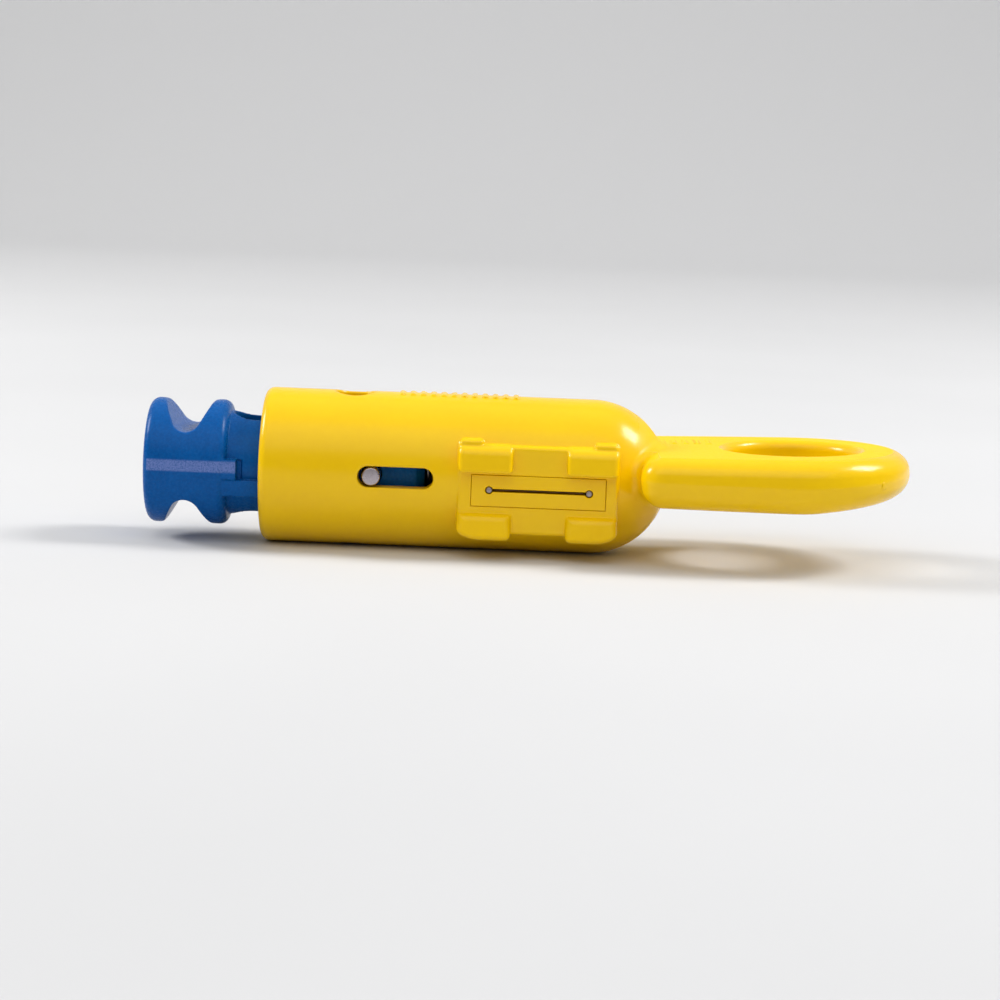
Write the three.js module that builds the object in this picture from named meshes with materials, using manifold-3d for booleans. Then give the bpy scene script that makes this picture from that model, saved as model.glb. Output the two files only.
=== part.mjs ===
// A hand cutter for small plastic tube: a moulded body with a finger loop, a sprung plunger with a
// cutting blade, and a slitting blade in a channelled boss on the front.
// Millimetres, +Z up. Stations are distances along +X from the plunger end of the body, on the bore axis.
import * as THREE from 'three';
import { mergeVertices, toCreasedNormals } from 'three/addons/utils/BufferGeometryUtils.js';
import Module from 'manifold-3d';

const wasm = await Module();
wasm.setup();

// ---------------------------------------------------------------- driving dimensions
const GAP = 0.3;                      // clearance between neighbouring pieces
const PAST = 1;                       // how far a cutter runs past what it cuts

const BODY = { radius: 12.7, domeStation: 54, mouthRound: 1.4 };
const BORE = { radius: 8.7, end: 33.6, coneEnd: 35.4, coneRadius: 7.4 };
const COUNTERBORE = { radius: 10.6, depth: 3.4 };
const SPRING_BORE = { radius: 5.6, end: 43.5 };
const TUBE_HOLE = { station: 14.7, radius: 3.2, rimRound: 0.4 };
const PIN_SLOT = { start: 16.1, width: 3.4, slack: 0.25 };
const KEYWAY = { low: -4.95, high: 1.85, depthRadius: 10.35, slack: 0.7 };
const TICKS = { first: 22.1, pitch: 1.7, count: 12, length: 0.8, width: 5.2, height: 0.2 };

const BOSS = {
  start: 32.3, end: 58.1, low: -9.3, high: 6.7, front: -14.8, floor: -12.95, root: -5, edgeRound: 0.9,
  cornerLong: 3.6, cornerShort: 1.8, topCorner: 1, ear: 3.9,
};
const LENGTH_CHANNEL = { low: -5.05, high: 1.6 };
const CROSS_CHANNEL = { start: 41, end: 49.8, low: -8.45, high: 5.85 };

const INSERT = { start: 34.5, end: 56.1, low: -3.95, high: 1.1, plate: 1.3, gap: 0.2 };
const INSERT_BLOCK = { start: 35.8, end: 55, low: -3.6, high: 0.75, back: -8.1 };
const SLIT = { station: 45.4, level: -1.35, width: 0.9, length: 16.1 };
const SLITTER = { thickness: 0.3, length: 14.2, edge: -12.3, back: -8.7, bevel: 1.1 };
const SLITTER_PIN = { radius: 0.55, holeRadius: 0.85, front: -12.8, back: -8.9 };

const LOOP = {
  neck: 61.5, neckHalfWidth: 19, hole: 87, halfWidth: 20, end: 106.5, cornerRound: 3.5, root: 56,
  top: 6.02, bottom: -2.85, topSlope: 0.026, taper: 0.119, taperStation: 88.5,
  edgeRound: 3, holeRadius: 10.9, rimRound: 1.5,
};

const PLUNGER = {
  start: -18.9, end: 26.8, flange: 10.3, flangeEnd: -5.5, faceRound: 1.5, flangeRound: 1,
  radius: 8.55, endChamfer: 1.4,
};
const NOTCH = { station: -12.3, floor: 5.55, floorRound: 2.4, crest: 4.8, lobeRound: 1.3 };
const WINDOW = { start: -5.2, end: 10.3, width: 7.8 };
const RIB = { start: -6.2, end: 3, low: -4.6, high: -1.8, radius: 10 };
const PAD = { start: -6.2, end: -3.7, low: -1.8, high: 1.5, radius: 10.1 };
const NICK = { start: -3.7, end: -2.9, low: -1.75, high: 1.4, depth: 0.5 };
const SPRING_POCKET = { start: 21.2, radius: 5.5 };
const STROKE = 8.3;                   // how far the plunger travels into the body

const PIN = { station: 18.25, radius: 1.5, halfLength: 12.3, chamfer: 0.4 };
const BLADE = { edge: 9.2, end: 15.6, halfWidth: 3.6, thickness: 0.6, bevel: 1.3, corner: 1.2 };
const SCREW = {
  station: 12.9, radius: 1.5, headRadius: 2.75, headTop: 7.5, headDepth: 1.6, low: -7, socket: 1,
};
const NUT = { acrossFlats: 5.5, low: -6.6, high: -4.2 };
const SPRING = { start: 21.55, end: 43.15, wire: 0.5, radius: 4.5, coils: 9 };

const ROUND = 64;                     // sides of a large turned form
const SMALL_ROUND = 24;               // sides of a pin, a screw or a small hole
const ARC_STEPS = 4;                  // half the number of chords in a profile's arc
const SPRING_STEPS = 14;              // steps in each turn of the spring
const SPRING_SIDES = 8;               // sides of its wire
const MERGE = 1e-4;                   // vertices closer than this are one
const CREASE = Math.PI / 5;           // faces that meet at more than this stay sharp
const KEEN = 0.02;                    // half the width of a ground edge

// The middle of the whole tool, face to face, is the frame's origin.
const MIDDLE = (PLUNGER.start + LOOP.end) / 2;

// ---------------------------------------------------------------- closed meshes and booleans
function solid(geometry) {
  const bare = geometry.clone();
  bare.deleteAttribute('normal');
  bare.deleteAttribute('uv');
  const merged = mergeVertices(bare, MERGE);
  const corners = merged.index.array;
  const faces = [];
  for (let i = 0; i < corners.length; i += 3) {
    const [a, b, c] = corners.slice(i, i + 3);
    if (a !== b && b !== c && c !== a) faces.push(a, b, c);
  }
  const mesh = new wasm.Mesh({
    numProp: 3,
    vertProperties: new Float32Array(merged.attributes.position.array),
    triVerts: new Uint32Array(faces),
  });
  return new wasm.Manifold(mesh);
}

function geometryOf(manifold) {
  const mesh = manifold.getMesh();
  const geometry = new THREE.BufferGeometry();
  geometry.setAttribute('position', new THREE.BufferAttribute(mesh.vertProperties, 3));
  geometry.setIndex(new THREE.BufferAttribute(mesh.triVerts, 1));
  return toCreasedNormals(geometry, CREASE);
}

const without = (base, ...cutters) => cutters.reduce((left, cutter) => left.subtract(cutter), base);
const joined = (base, ...extras) => extras.reduce((sum, extra) => sum.add(extra), base);

// A profile of (radius, station) points, turned about the bore axis.
function turned(profile, sides = ROUND) {
  const lathe = new THREE.LatheGeometry(profile.getPoints(ARC_STEPS), sides);
  return solid(lathe.rotateZ(-Math.PI / 2));
}

// The same profile turned about an upright axis through a station.
function turnedUpright(profile, station, sides = SMALL_ROUND) {
  const lathe = new THREE.LatheGeometry(profile.getPoints(ARC_STEPS), sides);
  return solid(lathe.rotateX(Math.PI / 2).translate(station, 0, 0));
}

function box(x0, x1, y0, y1, z0, z1) {
  const block = new THREE.BoxGeometry(x1 - x0, y1 - y0, z1 - z0);
  return solid(block.translate((x0 + x1) / 2, (y0 + y1) / 2, (z0 + z1) / 2));
}

const flatExtrude = (shape, depth) => new THREE.ExtrudeGeometry(
  shape, { depth, bevelEnabled: false, curveSegments: 2 * ARC_STEPS });

// An outline drawn in (station, height), extruded across the tool.
function acrossTool(shape, y0, y1) {
  return solid(flatExtrude(shape, y1 - y0).rotateX(Math.PI / 2).translate(0, y1, 0));
}

// An outline drawn in (station, depth), extruded upwards.
function upwards(shape, z0, z1) {
  return solid(flatExtrude(shape, z1 - z0).translate(0, 0, z0));
}

function obround(start, end, middle, halfWidth) {
  const shape = new THREE.Shape();
  shape.absarc(start + halfWidth, middle, halfWidth, Math.PI / 2, 1.5 * Math.PI, false);
  shape.absarc(end - halfWidth, middle, halfWidth, -Math.PI / 2, Math.PI / 2, false);
  shape.closePath();
  return shape;
}

function pinAcross(station, level, radius, y0, y1) {
  const rod = new THREE.CylinderGeometry(radius, radius, y1 - y0, SMALL_ROUND);
  return solid(rod.translate(station, (y0 + y1) / 2, level));
}

// ---------------------------------------------------------------- housing: body, boss and finger loop
function bodyBlank() {
  const { radius, domeStation, mouthRound } = BODY;
  const profile = new THREE.Path();
  profile.moveTo(0, 0);
  profile.lineTo(radius - mouthRound, 0);
  profile.absarc(radius - mouthRound, mouthRound, mouthRound, -Math.PI / 2, 0, false);
  profile.absarc(0, domeStation, radius, 0, Math.PI / 2, false);
  return turned(profile);
}

function bodyBores() {
  const profile = new THREE.Path();
  profile.moveTo(0, -PAST);
  profile.lineTo(COUNTERBORE.radius, -PAST);
  profile.lineTo(COUNTERBORE.radius, COUNTERBORE.depth);
  profile.lineTo(BORE.radius, COUNTERBORE.depth);
  profile.lineTo(BORE.radius, BORE.end);
  profile.lineTo(BORE.coneRadius, BORE.coneEnd);
  profile.lineTo(SPRING_BORE.radius, BORE.coneEnd);
  profile.lineTo(SPRING_BORE.radius, SPRING_BORE.end);
  profile.lineTo(0, SPRING_BORE.end);
  return turned(profile);
}

// The upright hole for the tube: its rims flare out where they meet the body's skin.
function tubeHole() {
  const { station, radius, rimRound } = TUBE_HOLE;
  const skin = BODY.radius;
  const profile = new THREE.Path();
  profile.moveTo(0, -skin - PAST);
  profile.lineTo(radius + rimRound, -skin - PAST);
  profile.lineTo(radius + rimRound, -skin);
  profile.absarc(radius + rimRound, -skin + rimRound, rimRound, -Math.PI / 2, -Math.PI, true);
  profile.absarc(radius + rimRound, skin - rimRound, rimRound, Math.PI, Math.PI / 2, true);
  profile.lineTo(radius + rimRound, skin + PAST);
  profile.lineTo(0, skin + PAST);
  return turnedUpright(profile, station, 2 * SMALL_ROUND);
}

// The slots end where the pin stops at full stroke.
function pinSlots() {
  const end = PIN.station + PIN.radius + STROKE + PIN_SLOT.slack;
  const slot = obround(PIN_SLOT.start, end, 0, PIN_SLOT.width / 2);
  return acrossTool(slot, -BODY.radius - PAST, BODY.radius + PAST);
}

// The groove in the front of the bore that the plunger's rib and pad run in.
function keyway() {
  const end = RIB.end + STROKE + KEYWAY.slack;
  return box(-PAST, end, -KEYWAY.depthRadius, 0, KEYWAY.low, KEYWAY.high);
}

function tickMarks() {
  const { first, pitch, count, length, width, height } = TICKS;
  const marks = [];
  for (let i = 0; i < count; i += 1) {
    const start = first + i * pitch;
    marks.push(box(start, start + length, -width / 2, width / 2, BODY.radius - 1, BODY.radius + height));
  }
  return marks;
}

// The boss's outline from the front: long low corners below, small round ones above.
function bossOutline() {
  const { start, end, low, high, cornerLong, cornerShort, topCorner, edgeRound } = BOSS;
  const shape = new THREE.Shape();
  const [x0, x1] = [start + edgeRound, end - edgeRound];
  const [z0, z1] = [low + edgeRound, high - edgeRound];
  shape.moveTo(x0 + cornerLong, z0);
  shape.lineTo(x1 - cornerLong, z0);
  shape.quadraticCurveTo(x1, z0, x1, z0 + cornerShort);
  shape.lineTo(x1, z1 - topCorner);
  shape.quadraticCurveTo(x1, z1, x1 - topCorner, z1);
  shape.lineTo(x0 + topCorner, z1);
  shape.quadraticCurveTo(x0, z1, x0, z1 - topCorner);
  shape.lineTo(x0, z0 + cornerShort);
  shape.quadraticCurveTo(x0, z0, x0 + cornerLong, z0);
  return shape;
}

function bossBlank() {
  const { front, root, edgeRound } = BOSS;
  const block = new THREE.ExtrudeGeometry(bossOutline(), {
    depth: root - front - 2 * edgeRound, curveSegments: ARC_STEPS,
    bevelThickness: edgeRound, bevelSize: edgeRound, bevelSegments: ARC_STEPS,
  });
  return solid(block.rotateX(Math.PI / 2).translate(0, root - edgeRound, 0));
}

// One channel along the tool and one across it leave four corner lugs standing on the boss. The upper
// lugs stand higher at their outer ends only.
function bossChannels() {
  const { start, end, low, high, front, floor, ear } = BOSS;
  const lengthwise = box(
    start - PAST, end + PAST, front - PAST, floor, LENGTH_CHANNEL.low, LENGTH_CHANNEL.high);
  const across = box(CROSS_CHANNEL.start, CROSS_CHANNEL.end, front - PAST, floor, low - PAST, high + PAST);
  const { start: a, end: b } = CROSS_CHANNEL;
  const below = box(a, b, front - PAST, BOSS.root, low - PAST, CROSS_CHANNEL.low);
  const above = box(start + ear, end - ear, front - PAST, BOSS.root, CROSS_CHANNEL.high, high + PAST);
  return { cut: joined(lengthwise, across), ledges: joined(below, above) };
}

// A stepped pocket: a shallow recess for the insert's plate and a deep one for its block.
function insertPocket() {
  const { gap, plate } = INSERT;
  const { floor } = BOSS;
  const recess = box(
    INSERT.start - gap, INSERT.end + gap, floor - PAST, floor + plate + gap,
    INSERT.low - gap, INSERT.high + gap);
  const deep = box(
    INSERT_BLOCK.start - gap, INSERT_BLOCK.end + gap, floor - PAST, INSERT_BLOCK.back + gap,
    INSERT_BLOCK.low - gap, INSERT_BLOCK.high + gap);
  return joined(recess, deep);
}

// Moves the vertices above or below the loop's middle plane in proportion to their station.
function lean(geometry, side, slope, pivot) {
  const middle = (LOOP.top + LOOP.bottom) / 2;
  const place = geometry.attributes.position;
  for (let i = 0; i < place.count; i += 1) {
    const above = place.getZ(i) > middle ? 1 : -1;
    if (above === side) place.setZ(i, place.getZ(i) + slope * (place.getX(i) - pivot));
  }
  return geometry;
}

function loopOutline() {
  const { neck, neckHalfWidth, hole, halfWidth, end, cornerRound, root, edgeRound } = LOOP;
  const left = neck + edgeRound;
  const neckSide = neckHalfWidth - edgeRound;
  const side = halfWidth - edgeRound;
  const inner = BODY.radius / 2;
  const endLength = end - edgeRound - hole;
  const shape = new THREE.Shape();
  shape.moveTo(root, -inner);
  shape.lineTo(left, -inner);
  shape.lineTo(left, -neckSide + cornerRound);
  shape.quadraticCurveTo(left, -neckSide, left + cornerRound, -neckSide);
  shape.quadraticCurveTo((left + hole) / 2, -side, hole, -side);
  shape.absellipse(hole, 0, endLength, side, -Math.PI / 2, Math.PI / 2, false);
  shape.quadraticCurveTo((left + hole) / 2, side, left + cornerRound, neckSide);
  shape.quadraticCurveTo(left, neckSide, left, neckSide - cornerRound);
  shape.lineTo(left, inner);
  shape.lineTo(root, inner);
  shape.closePath();
  return shape;
}

// The cutter for the finger hole, its rims rounded into the loop's top and bottom faces.
function fingerHoleCutter() {
  const { hole, holeRadius, rimRound, top, bottom } = LOOP;
  const wide = holeRadius + rimRound;
  const profile = new THREE.Path();
  profile.moveTo(0, bottom - PAST);
  profile.lineTo(wide, bottom - PAST);
  profile.lineTo(wide, bottom);
  profile.absarc(wide, bottom + rimRound, rimRound, -Math.PI / 2, -Math.PI, true);
  profile.absarc(wide, top - rimRound, rimRound, Math.PI, Math.PI / 2, true);
  profile.lineTo(wide, top + PAST);
  profile.lineTo(0, top + PAST);
  const lathe = new THREE.LatheGeometry(profile.getPoints(ARC_STEPS), ROUND);
  return lathe.rotateX(Math.PI / 2).translate(hole, 0, 0);
}

function loopWithBottom(bottomSlope) {
  const { top, bottom, edgeRound, topSlope, taperStation, hole } = LOOP;
  const plate = new THREE.ExtrudeGeometry(loopOutline(), {
    depth: top - bottom - 2 * edgeRound, curveSegments: 2 * ARC_STEPS,
    bevelThickness: edgeRound, bevelSize: edgeRound, bevelSegments: ARC_STEPS,
  }).translate(0, 0, bottom + edgeRound);
  const shaped = [plate, fingerHoleCutter()].map(
    (form) => solid(lean(lean(form, 1, topSlope, hole), -1, bottomSlope, taperStation)));
  return shaped[0].subtract(shaped[1]);
}

// Level underneath as far as the middle of the hole, then rising towards the end.
const fingerLoop = () => loopWithBottom(0).intersect(loopWithBottom(LOOP.taper));

function housing() {
  const { cut, ledges } = bossChannels();
  const boss = without(bossBlank(), ledges);
  const blank = joined(bodyBlank(), boss, fingerLoop(), ...tickMarks());
  return without(blank, bodyBores(), tubeHole(), pinSlots(), keyway(), cut, insertPocket());
}

// ---------------------------------------------------------------- slitter: insert, blade and two pins
const slitterPinStations = [SLIT.station - SLIT.length / 2, SLIT.station + SLIT.length / 2];

function slitterInsert() {
  const { floor } = BOSS;
  const plate = box(INSERT.start, INSERT.end, floor, floor + INSERT.plate, INSERT.low, INSERT.high);
  const block = box(
    INSERT_BLOCK.start, INSERT_BLOCK.end, floor + INSERT.plate / 2, INSERT_BLOCK.back,
    INSERT_BLOCK.low, INSERT_BLOCK.high);
  const [first, last] = slitterPinStations;
  const slit = box(
    first, last, floor - PAST, SLITTER.back + GAP, SLIT.level - SLIT.width / 2, SLIT.level + SLIT.width / 2);
  const holes = slitterPinStations.map(
    (station) => pinAcross(station, SLIT.level, SLITTER_PIN.holeRadius, floor - PAST, SLITTER.back + GAP));
  return without(joined(plate, block), slit, ...holes);
}

// A flat blade standing on its back edge, ground on both faces to the front edge.
function slitterBlade() {
  const { thickness, edge, back, bevel, length } = SLITTER;
  const half = thickness / 2;
  const section = new THREE.Shape();
  section.moveTo(back, -half);
  section.lineTo(back, half);
  section.lineTo(edge + bevel, half);
  section.lineTo(edge, KEEN);
  section.lineTo(edge, -KEEN);
  section.lineTo(edge + bevel, -half);
  section.closePath();
  const strip = flatExtrude(section, length);
  const toTool = new THREE.Matrix4().makeBasis(
    new THREE.Vector3(0, 1, 0), new THREE.Vector3(0, 0, 1), new THREE.Vector3(1, 0, 0));
  return solid(strip.applyMatrix4(toTool).translate(SLIT.station - length / 2, 0, SLIT.level));
}

const slitterPin = (station) => pinAcross(
  station, SLIT.level, SLITTER_PIN.radius, SLITTER_PIN.front, SLITTER_PIN.back);

// ---------------------------------------------------------------- plunger and what rides in it
function plungerBlank() {
  const { start, end, flange, flangeEnd, faceRound, flangeRound, radius, endChamfer } = PLUNGER;
  const profile = new THREE.Path();
  profile.moveTo(0, start);
  profile.lineTo(flange - faceRound, start);
  profile.absarc(flange - faceRound, start + faceRound, faceRound, -Math.PI / 2, 0, false);
  profile.absarc(flange - flangeRound, flangeEnd - flangeRound, flangeRound, 0, Math.PI / 2, false);
  profile.lineTo(radius, flangeEnd);
  profile.lineTo(radius, end - endChamfer);
  profile.lineTo(radius - endChamfer, end);
  profile.lineTo(0, end);
  return turned(profile);
}

// A thumb notch: a round floor and straight flanks that run over into two rounded crests.
function notchShape() {
  const { station, floor, floorRound, crest, lobeRound } = NOTCH;
  const lobeHeight = PLUNGER.flange - lobeRound;
  const floorHeight = floor + floorRound;
  const reach = Math.hypot(crest, lobeHeight - floorHeight);
  const flank = Math.atan2(lobeHeight - floorHeight, crest) + Math.asin((floorRound + lobeRound) / reach);
  const turn = Math.PI / 2 - flank;
  const shape = new THREE.Shape();
  shape.absarc(station - crest, lobeHeight, lobeRound, Math.PI / 2, turn, true);
  shape.absarc(station, floorHeight, floorRound, Math.PI + turn, 2 * Math.PI - turn, false);
  shape.absarc(station + crest, lobeHeight, lobeRound, Math.PI - turn, Math.PI / 2, true);
  shape.lineTo(station + crest, PLUNGER.flange + PAST);
  shape.lineTo(station - crest, PLUNGER.flange + PAST);
  shape.closePath();
  return shape;
}

function thumbNotches() {
  const reach = PLUNGER.flange + PAST;
  const top = acrossTool(notchShape(), -reach, reach);
  const halfTurn = [180, 0, 0];
  return joined(top, top.rotate(halfTurn));
}

const tubeWindow = () => upwards(
  obround(WINDOW.start, WINDOW.end, 0, WINDOW.width / 2), -PLUNGER.flange, PLUNGER.flange);

// The slot that the cutting blade lies in, open to the window.
const bladeSlot = () => box(
  WINDOW.end - WINDOW.width / 2, BLADE.end + GAP, -BLADE.halfWidth - GAP, BLADE.halfWidth + GAP,
  -BLADE.thickness / 2 - GAP, BLADE.thickness / 2 + GAP);

function screwPassage() {
  const { station, radius, headRadius, headTop, headDepth } = SCREW;
  const seat = headTop - headDepth;
  const profile = new THREE.Path();
  profile.moveTo(0, -PLUNGER.radius - PAST);
  profile.lineTo(radius + GAP, -PLUNGER.radius - PAST);
  profile.lineTo(radius + GAP, seat - GAP);
  profile.lineTo(headRadius + GAP, headTop - GAP);
  profile.lineTo(headRadius + GAP, PLUNGER.radius + PAST);
  profile.lineTo(0, PLUNGER.radius + PAST);
  return turnedUpright(profile, station);
}

function hexPrism(acrossFlats, low, high, station) {
  const prism = new THREE.CylinderGeometry(
    acrossFlats / Math.sqrt(3), acrossFlats / Math.sqrt(3), high - low, 6);
  return solid(prism.rotateX(Math.PI / 2).translate(station, 0, (low + high) / 2));
}

const nutPocket = () => hexPrism(
  NUT.acrossFlats + 2 * GAP, -PLUNGER.radius - PAST, NUT.high + GAP, SCREW.station);

function springPocket() {
  const profile = new THREE.Path();
  profile.moveTo(0, SPRING_POCKET.start);
  profile.lineTo(SPRING_POCKET.radius, SPRING_POCKET.start);
  profile.lineTo(SPRING_POCKET.radius, PLUNGER.end + PAST);
  profile.lineTo(0, PLUNGER.end + PAST);
  return turned(profile, ROUND / 2);
}

// A key on the front of the plunger, drawn as a slice of a larger cylinder.
function frontKey({ start, end, low, high, radius }) {
  const profile = new THREE.Path();
  profile.moveTo(0, start);
  profile.lineTo(radius, start);
  profile.lineTo(radius, end);
  profile.lineTo(0, end);
  const slice = box(start - PAST, end + PAST, -radius - PAST, -WINDOW.width / 2 - GAP, low, high);
  return turned(profile).intersect(slice);
}

const nick = () => box(
  NICK.start, NICK.end, -PLUNGER.radius - PAST, -PLUNGER.radius + NICK.depth, NICK.low, NICK.high);

function plunger() {
  const pinHole = pinAcross(PIN.station, 0, PIN.radius + GAP, -PLUNGER.radius - PAST, PLUNGER.radius + PAST);
  return without(
    joined(plungerBlank(), frontKey(RIB), frontKey(PAD)),
    thumbNotches(), tubeWindow(), bladeSlot(), screwPassage(), nutPocket(), springPocket(), pinHole, nick());
}

// A steel pin across the tool, chamfered at both ends; it runs in the body's slots.
function stopPin() {
  const { station, radius, halfLength, chamfer } = PIN;
  const profile = new THREE.Path();
  profile.moveTo(0, -halfLength);
  profile.lineTo(radius - chamfer, -halfLength);
  profile.lineTo(radius, -halfLength + chamfer);
  profile.lineTo(radius, halfLength - chamfer);
  profile.lineTo(radius - chamfer, halfLength);
  profile.lineTo(0, halfLength);
  const lathe = new THREE.LatheGeometry(profile.getPoints(ARC_STEPS), SMALL_ROUND);
  return solid(lathe.translate(station, 0, 0));
}

// A flat blade across the tool with its ground edge towards the window.
function cutterBlade() {
  const { edge, end, halfWidth, thickness, bevel, corner } = BLADE;
  const half = thickness / 2;
  const section = new THREE.Shape();
  section.moveTo(edge, -KEEN);
  section.lineTo(edge + bevel, -half);
  section.lineTo(end, -half);
  section.lineTo(end, half);
  section.lineTo(edge + bevel, half);
  section.lineTo(edge, KEEN);
  section.closePath();
  const plan = new THREE.Shape();
  plan.moveTo(edge - PAST, -halfWidth);
  plan.lineTo(end - corner, -halfWidth);
  plan.lineTo(end, -halfWidth + corner);
  plan.lineTo(end, halfWidth - corner);
  plan.lineTo(end - corner, halfWidth);
  plan.lineTo(edge - PAST, halfWidth);
  plan.closePath();
  const holeRadius = SCREW.radius + GAP;
  const hole = new THREE.CylinderGeometry(holeRadius, holeRadius, thickness + PAST, SMALL_ROUND);
  const ground = acrossTool(section, -halfWidth - PAST, halfWidth + PAST);
  return without(
    ground.intersect(upwards(plan, -thickness, thickness)),
    solid(hole.rotateX(Math.PI / 2).translate(SCREW.station, 0, 0)));
}

// A countersunk screw from above, with a hexagon socket in its head.
function bladeScrew() {
  const { station, radius, headRadius, headTop, headDepth, low, socket } = SCREW;
  const profile = new THREE.Path();
  profile.moveTo(0, low);
  profile.lineTo(radius - GAP, low);
  profile.lineTo(radius, low + GAP);
  profile.lineTo(radius, headTop - headDepth);
  profile.lineTo(headRadius, headTop - GAP);
  profile.lineTo(headRadius, headTop);
  profile.lineTo(0, headTop);
  return without(
    turnedUpright(profile, station), hexPrism(2 * socket, headTop - headDepth / 2, headTop + PAST, station));
}

function bladeNut() {
  const bore = new THREE.CylinderGeometry(
    SCREW.radius + GAP, SCREW.radius + GAP, NUT.high - NUT.low + PAST, SMALL_ROUND);
  const place = (NUT.high + NUT.low) / 2;
  return without(
    hexPrism(NUT.acrossFlats, NUT.low, NUT.high, SCREW.station),
    solid(bore.rotateX(Math.PI / 2).translate(SCREW.station, 0, place)));
}

// ---------------------------------------------------------------- return spring
class Helix extends THREE.Curve {
  getPoint(t, target = new THREE.Vector3()) {
    const { start, end, wire, radius, coils } = SPRING;
    const turnAngle = 2 * Math.PI * coils * t;
    const station = start + wire + t * (end - start - 2 * wire);
    return target.set(station, radius * Math.cos(turnAngle), radius * Math.sin(turnAngle));
  }
}

function returnSpring() {
  const section = new THREE.Shape();
  section.absarc(0, 0, SPRING.wire, 0, 2 * Math.PI, false);
  const coil = new THREE.ExtrudeGeometry(section, {
    steps: SPRING_STEPS * SPRING.coils, curveSegments: SPRING_SIDES, bevelEnabled: false,
    extrudePath: new Helix(),
  });
  return solid(coil);
}

// ---------------------------------------------------------------- the assembly
const COLOURS = {
  yellow: { color: 0xf6c913, roughness: 0.32, metalness: 0 },
  blue: { color: 0x12559f, roughness: 0.42, metalness: 0 },
  steel: { color: 0xb9b6ba, roughness: 0.28, metalness: 1 },
  bladeSteel: { color: 0xc9ccd0, roughness: 0.2, metalness: 1 },
};

function piece(name, form, colour) {
  const mesh = new THREE.Mesh(geometryOf(form), new THREE.MeshStandardMaterial(COLOURS[colour]));
  mesh.name = name;
  return mesh;
}

const [leftPin, rightPin] = slitterPinStations;
const fixed = new THREE.Group();
fixed.add(
  piece('housing', housing(), 'yellow'),
  piece('slitter_insert', slitterInsert(), 'yellow'),
  piece('slitter_blade', slitterBlade(), 'bladeSteel'),
  piece('slitter_pin_left', slitterPin(leftPin), 'steel'),
  piece('slitter_pin_right', slitterPin(rightPin), 'steel'),
  piece('return_spring', returnSpring(), 'steel'),
);

const sliding = new THREE.Group();
sliding.add(
  piece('plunger', plunger(), 'blue'),
  piece('stop_pin', stopPin(), 'steel'),
  piece('cutter_blade', cutterBlade(), 'bladeSteel'),
  piece('blade_screw', bladeScrew(), 'steel'),
  piece('blade_nut', bladeNut(), 'steel'),
);

const tool = new THREE.Group();
tool.add(fixed, sliding);
tool.position.x = -MIDDLE;

export default tool;
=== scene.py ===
"""Looks for the small tube cutter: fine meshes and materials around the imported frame.

Shapes are written as signed distance fields in millimetres, with x as the station along the tool from the
body's mouth, and meshed here. Every place starts from the frame's own boxes.
"""
import math
import bpy
import numpy as np
from mathutils import Matrix, Vector


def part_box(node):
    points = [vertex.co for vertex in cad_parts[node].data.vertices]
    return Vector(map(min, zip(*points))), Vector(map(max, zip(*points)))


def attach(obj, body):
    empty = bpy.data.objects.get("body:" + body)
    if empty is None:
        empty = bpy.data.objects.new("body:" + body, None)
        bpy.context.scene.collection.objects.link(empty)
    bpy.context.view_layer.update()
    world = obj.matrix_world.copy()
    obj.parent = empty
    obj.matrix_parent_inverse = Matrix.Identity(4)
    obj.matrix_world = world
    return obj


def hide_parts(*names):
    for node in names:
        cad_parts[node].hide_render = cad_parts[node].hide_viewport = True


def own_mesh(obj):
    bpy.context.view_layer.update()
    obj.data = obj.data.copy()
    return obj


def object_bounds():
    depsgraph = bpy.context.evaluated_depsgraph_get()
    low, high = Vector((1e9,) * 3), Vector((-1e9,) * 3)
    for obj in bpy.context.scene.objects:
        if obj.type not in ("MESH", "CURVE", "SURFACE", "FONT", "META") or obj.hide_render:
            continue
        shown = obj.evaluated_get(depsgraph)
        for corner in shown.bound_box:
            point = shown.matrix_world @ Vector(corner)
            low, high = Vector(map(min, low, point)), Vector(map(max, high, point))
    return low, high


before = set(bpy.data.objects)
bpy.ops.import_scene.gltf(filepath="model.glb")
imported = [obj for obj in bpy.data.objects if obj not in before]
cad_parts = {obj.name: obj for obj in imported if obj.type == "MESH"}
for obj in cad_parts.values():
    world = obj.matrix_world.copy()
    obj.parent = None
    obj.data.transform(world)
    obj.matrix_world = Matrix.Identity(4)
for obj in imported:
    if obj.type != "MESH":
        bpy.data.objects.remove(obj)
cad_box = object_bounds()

MM = 0.001
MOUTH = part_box("housing")[0][0]            # row-frame x of station 0, in metres
FINE = 1.0
SLICE = 40                                 # grid planes worked out at a time
SETTLING = 3                               # times that the vertices are drawn to the surface
SETTLE = 0.12                              # furthest that a vertex moves each time
FINE_SETTLE = 0.05                         # the same for the small pieces

# ------------------------------------------------------------------ distance field tools (millimetres)


def union(a, b, r=0.0):
    """Union with a concave fillet of radius r."""
    if r <= 0:
        return np.minimum(a, b)
    u = np.maximum(r - a, 0)
    v = np.maximum(r - b, 0)
    return np.maximum(r, np.minimum(a, b)) - np.hypot(u, v)


def common(a, b, r=0.0):
    """Intersection with a rounded edge of radius r, which may vary over space."""
    u = np.maximum(r + a, 0)
    v = np.maximum(r + b, 0)
    return np.minimum(-r, np.maximum(a, b)) + np.hypot(u, v)


def carve(a, b, r=0.0):
    """What is left of a once b is cut away, its new edges rounded by r."""
    return common(a, -b, r)


def slab(v, low, high):
    return np.maximum(low - v, v - high)


def brick(x, y, z, lows, highs, r=0.0):
    """A box with its edges rounded by r."""
    fx = slab(x, lows[0], highs[0])
    fy = slab(y, lows[1], highs[1])
    fz = slab(z, lows[2], highs[2])
    return common(common(fx, fz, r), fy, r)


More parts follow.
